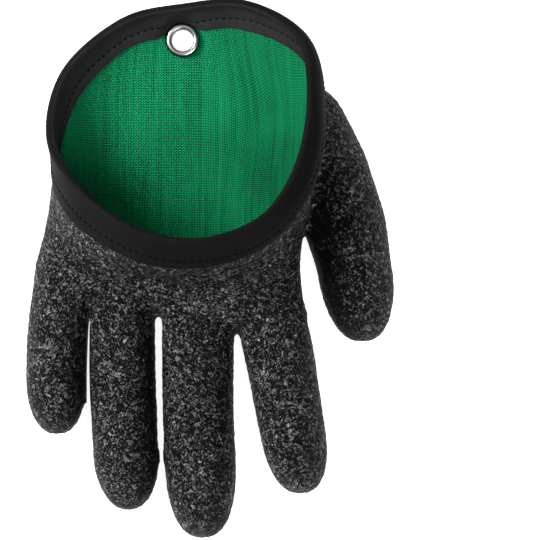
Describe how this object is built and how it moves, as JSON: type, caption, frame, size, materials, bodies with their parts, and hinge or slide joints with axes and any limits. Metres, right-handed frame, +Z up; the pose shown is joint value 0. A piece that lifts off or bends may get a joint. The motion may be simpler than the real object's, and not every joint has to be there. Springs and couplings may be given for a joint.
{
  "type": "fishing glove",
  "caption": "Right-hand work glove for holding fish, lying palm down: crinkled dark latex coat over a green knitted liner, wide bound cuff gaping open, metal eyelet in its edge.",
  "frame": {"origin": "middle of the footprint, on the surface that the glove lies on", "axes": "+Z up, out of the back of the hand; +Y from the fingertips to the cuff; +X towards the thumb"},
  "size_m": [0.138, 0.203, 0.0532],
  "materials": {
    "latex": "dark charcoal crinkled latex dip, matt with soft highlights",
    "knit": "fine plain-knit polyester, bright green",
    "tape": "soft black binding tape, matt",
    "steel": "bright plated steel, rolled"
  },
  "bodies": {
    "root": {"latex_coat": "latex", "knit_liner": "knit", "cuff_binding": "tape", "grommet_eyelet": "steel", "grommet_washer": "steel"}
  },
  "joints": []
}
